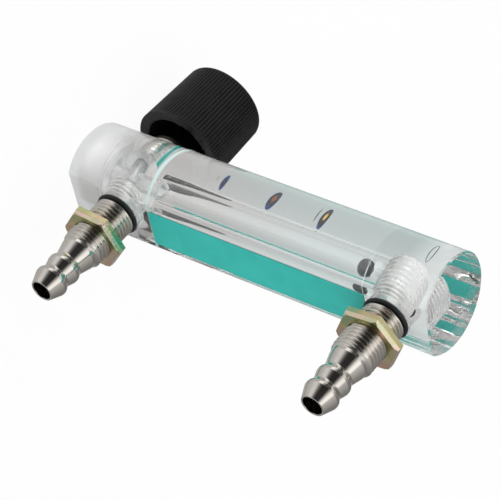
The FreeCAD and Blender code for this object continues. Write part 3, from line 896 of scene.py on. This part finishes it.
def knobGrid():
    # Profile from the socket's floor out over the hub, the recess, the rim, the ribbed side and the
    # face. On the side, each rib raises the radius as a rounded crest and the grooves are narrow.
    look = knobLook
    path = [(0, look["socketFloor"]), (look["socket"], look["socketFloor"]), (look["socket"], look["hubAt"]),
            (look["hub"], look["hubAt"]), (look["hub"], look["floorAt"]), (look["recess"], look["floorAt"]),
            (look["recess"], look["rimAt"]), (look["rim"], look["rimAt"])]
    inner = roundProfile(path, look["rounding"])
    turn = np.linspace(0, np.pi / 2, 12)
    corner = np.stack([look["end"] - look["edge"] + look["edge"] * np.cos(turn),
                       look["faceAt"] - look["edge"] + look["edge"] * np.sin(turn)], 1)
    profile = np.concatenate([inner, corner, [[0, look["faceAt"]]]])
    profile = denseProfile(profile, look["step"])
    angle = np.linspace(0, 2 * np.pi, look["ribs"] * look["ribFacets"], endpoint=False)[None, :]
    radius = profile[:, :1] + 0 * angle
    along = profile[:, 1:]
    side = smoothStep(look["rimAt"] - 0.01 * mm, look["rimAt"] + look["ribStart"], along)
    ribEnd = look["faceAt"] - look["edge"] * 0.8
    side = side * (1 - smoothStep(ribEnd, look["faceAt"] - look["edge"] * 0.3, along))
    side = side * (profile[:, :1] > look["end"] * 0.93)
    groove = np.abs(np.sin(angle * look["ribs"] / 2)) ** look["ribPower"]
    radius = radius - look["ribDepth"] * side * (1 - groove)
    return np.stack([radius * np.cos(angle), -along + 0 * angle, valveAt + radius * np.sin(angle)], 2)


def makeKnob():
    piece = gridPiece("controlKnob", knobGrid(), ["knob"], 40)
    finishPiece(piece, "knob_set", "black_plastic", "control_knob")


plugLook = {"rings": 120, "facets": 96, "grooveLow": 1.5 * mm, "grooveHigh": 0.5 * mm,
            "grooveDepth": 1.0 * mm}


def makeEndPlug():
    # Threaded plug with a groove for its seal near the top
    low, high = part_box("end_plug")
    radius = high.x
    height = np.linspace(low.z, high.z, plugLook["rings"])
    wave = radius - tubeLook["threadDepth"] * (1 - ridge((height - low.z) / tubeLook["threadPitch"]))
    groove = (height > high.z - plugLook["grooveLow"]) & (height < high.z - plugLook["grooveHigh"])
    wave = np.where(groove, radius - plugLook["grooveDepth"], wave)
    profile = np.concatenate([[[0, low.z]], np.stack([wave, height], 1), [[0, high.z]]])
    piece = gridPiece("endPlug", turnedUpright(profile, plugLook["facets"]), ["milky"], 50)
    finishPiece(piece, "tube", "milky_acrylic", "end_plug")


def dressNode(node, material):
    # A CAD node whose shape is already right only gets its finish
    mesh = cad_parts[node].data
    mesh.materials.clear()
    mesh.materials.append(finish[material])


makeBonnet()
makeKnob()
makeEndPlug()
for node, material in (("needle_spindle", "steel"), ("knob_insert", "brass"), ("valve_seat", "nylon"),
                       ("flow_float", "float"), ("lower_float_stop", "softClear"),
                       ("upper_float_stop", "softClear"), ("end_plug_seal", "silicone")):
    dressNode(node, material)
print("valve and knob made")


# Studio: white floor, one soft light, the striped room that metal mirrors, and the camera

plainLight = 0.92


def mixColour(tree, factor, first, second):
    mix = addNode(tree, "ShaderNodeMix", data_type="RGBA")
    for index, value in ((0, factor), (6, first), (7, second)):
        tree.links.new(value, mix.inputs[index])
    return mix.outputs[2]


def blendBy(tree, value, low, high, first, second):
    # first below low, second above high, and a smooth step between them
    return mixColour(tree, mapRange(tree, value, low, high, kind="SMOOTHSTEP"), first, second)


def turnRamp(tree, rise, run, peak, stops, tint=(1, 1, 1)):
    # A ramp by the direction's turn from run towards rise, in degrees, with its levels as shares of
    # the peak
    share = mapRange(tree, mathOf(tree, "ARCTAN2", rise, run), -math.pi, math.pi)
    return colourRamp(tree, share, [((degrees + 180) / 360, tuple(level / peak * part for part in tint))
                                    for degrees, level in stops])


studioLook = {
    "peak": 1.5, "tint": (1.0, 0.985, 0.965), "backBlend": (-0.40, -0.28), "frontBlend": (0.70, 0.86),
    "back": [(-180, 0.26), (-150, 0.36), (-115, 0.52), (-60, 0.55), (-32, 0.62), (-26, 1.3), (-8, 1.2),
             (2, 0.55), (14, 0.10), (50, 0.10), (58, 0.85), (74, 0.95), (84, 0.5), (110, 0.28), (150, 0.22),
             (180, 0.24)],
    "level": [(-180, 0.20), (-140, 0.36), (-105, 0.50), (-65, 0.58), (-38, 0.84), (-27, 0.80), (-16, 0.40),
              (-8, 0.10), (8, 0.03), (40, 0.03), (52, 0.40), (62, 1.05), (76, 1.40), (84, 1.15), (92, 0.62),
              (110, 0.50), (140, 0.32), (180, 0.20)],
    "front": [(-180, 0.20), (-120, 0.40), (-90, 0.6), (-70, 1.2), (-56, 0.5), (-46, 0.08), (20, 0.06),
              (44, 0.35), (84, 0.75), (104, 1.2), (114, 0.8), (124, 0.3), (150, 0.12), (180, 0.18)],
}


def studioColour(tree, direction):
    # What polished metal mirrors. Soft boxes run along Y, so the brightness goes by the direction's
    # turn about the Y axis, in three bands by its Y part: rays that run well towards -Y, level
    # rays, and rays that run nearly along +Y
    look = studioLook
    parts = partsOf(tree, direction)
    bands = [turnRamp(tree, parts["Z"], parts["X"], look["peak"], look[band], look["tint"])
             for band in ("back", "level", "front")]
    lower = blendBy(tree, parts["Y"], *look["backBlend"], bands[0], bands[1])
    whole = blendBy(tree, parts["Y"], *look["frontBlend"], lower, bands[2])
    return scaledBy(tree, whole, look["peak"])


throughLook = {
    "slope": (-0.62, -0.38), "peak": 1.6,
    "along": [(0, (0.50, 0.49, 0.475)), (0.22, (0.43, 0.415, 0.40)), (0.36, (0.45, 0.445, 0.435)),
              (0.52, (0.47, 0.51, 0.505)), (0.8, (0.485, 0.54, 0.535)), (1, (0.58, 0.61, 0.605))],
    "gain": [(-180, 0.95), (-165, 0.99), (-152, 1.10), (-140, 1.36), (-134, 1.42), (-122, 1.30), (-108, 1.24),
             (-94, 0.95), (-40, 1.2), (60, 1.25), (150, 1.3), (162, 1.0), (180, 0.95)],
}


def throughColour(tree, direction):
    # The grey that clear acrylic shows of the backdrop: warm and darker for rays that run down the
    # tube, cooler for level ones, times a gain by their turn about the tube's axis
    look = throughLook
    parts = partsOf(tree, direction)
    along = colourRamp(tree, mapRange(tree, parts["Z"], *look["slope"]), look["along"])
    gain = turnRamp(tree, parts["Y"], parts["X"], look["peak"], look["gain"])
    return scaledBy(tree, vectorOf(tree, "MULTIPLY", along, gain), look["peak"])


def backdropLight(tree):
    # White for the camera, a soft grey seen through the acrylic, the studio in reflections, and
    # the plain light on the object. Pale walls inside the acrylic gather the plain light too.
    path = addNode(tree, "ShaderNodeLightPath").outputs
    incoming = addNode(tree, "ShaderNodeNewGeometry").outputs["Incoming"]
    direction = scaledBy(tree, incoming, -1.0)
    plain = addNode(tree, "ShaderNodeRGB").outputs[0]
    plain.default_value = (plainLight, plainLight, plainLight, 1)
    white = addNode(tree, "ShaderNodeRGB").outputs[0]
    white.default_value = (1, 1, 1, 1)
    beforeWalls = mathOf(tree, "LESS_THAN", path["Diffuse Depth"], 0.5)
    through = mathOf(tree, "MULTIPLY", path["Is Transmission Ray"], beforeWalls)
    result = mixColour(tree, path["Is Glossy Ray"], plain, studioColour(tree, direction))
    result = mixColour(tree, through, result, throughColour(tree, direction))
    return mixColour(tree, path["Is Camera Ray"], result, white)


def makeWorld():
    world = bpy.data.worlds.new("studio")
    bpy.context.scene.world = world
    world.use_nodes = True
    background = world.node_tree.nodes["Background"]
    background.inputs["Strength"].default_value = 1.0
    world.node_tree.links.new(backdropLight(world.node_tree), background.inputs["Color"])


floorLook = {"half": 3.0, "colour": (0.9, 0.9, 0.9, 1), "roughness": 0.9, "backdropShare": 0.94}


def makeFloor():
    # White floor. What the camera, metal and acrylic see of it is the backdrop, with a little of
    # its own shade mixed in, so that the object's shadow stays on it.
    mesh = bpy.data.meshes.new("floor")
    half = floorLook["half"]
    corners = [(-half, -half, 0), (half, -half, 0), (half, half, 0), (-half, half, 0)]
    mesh.from_pydata(corners, [], [(0, 1, 2, 3)])
    material, tree, shader = newMaterial("floorWhite", Base_Color=floorLook["colour"],
                                         Roughness=floorLook["roughness"])
    path = addNode(tree, "ShaderNodeLightPath").outputs
    seen = mathOf(tree, "MAXIMUM", path["Is Camera Ray"], path["Is Transmission Ray"])
    seen = mathOf(tree, "MAXIMUM", seen, path["Is Glossy Ray"])
    glow = addNode(tree, "ShaderNodeEmission")
    tree.links.new(backdropLight(tree), glow.inputs["Color"])
    showMixed(tree, mathOf(tree, "MULTIPLY", seen, floorLook["backdropShare"]), shader.outputs[0],
              glow.outputs[0])
    mesh.materials.append(material)
    floor = addObject("floor", mesh)


# Place in mm, the two axes of the picture, and the focal length in pixels of a 500 pixel picture
cameraPlace = {"at": (306.96, 242.64, 276.67), "right": (-0.1563, -0.5749, 0.8032),
               "up": (0.7148, -0.6270, -0.3097), "focal": 2072.93, "picture": 500, "sensor": 36}


def makeCamera():
    right = Vector(cameraPlace["right"]).normalized()
    up = Vector(cameraPlace["up"])
    up = (up - right * up.dot(right)).normalized()
    towards = right.cross(up)
    data = bpy.data.cameras.new("camera")
    data.sensor_width = cameraPlace["sensor"]
    data.lens = cameraPlace["focal"] / cameraPlace["picture"] * cameraPlace["sensor"]
    data.clip_start = 0.01
    data.clip_end = 20
    camera = addObject("camera", data)
    turn = Matrix((right, up, towards)).transposed().to_4x4()
    camera.matrix_world = Matrix.Translation(Vector(cameraPlace["at"]) * mm) @ turn
    bpy.context.scene.camera = camera
    return right, up, towards


def addLight(name, direction, distance, size, power):
    # A square light that faces the middle of the tube and that nothing mirrors
    target = Vector((0, 0, tubeLength / 2))
    data = bpy.data.lights.new(name, "AREA")
    data.shape = "RECTANGLE"
    data.size = size
    data.size_y = size
    data.energy = power
    light = addObject(name, data)
    place = target + direction.normalized() * distance
    turn = (place - target).to_track_quat("Z", "Y").to_matrix().to_4x4()
    light.visible_glossy = False
    light.matrix_world = Matrix.Translation(place) @ turn


makeFloor()
makeWorld()
right, up, towards = makeCamera()
addLight("keyLight", up * 0.9 + right * 0.3 + towards * 0.5, 0.6, 0.35, 1.5)
print("studio set")

# Light is passed on inside the acrylic many times before it leaves
cycles = bpy.context.scene.cycles
cycles.max_bounces = 20
cycles.glossy_bounces = 16
cycles.transmission_bounces = 16
bpy.context.scene.view_settings.view_transform = "Standard"
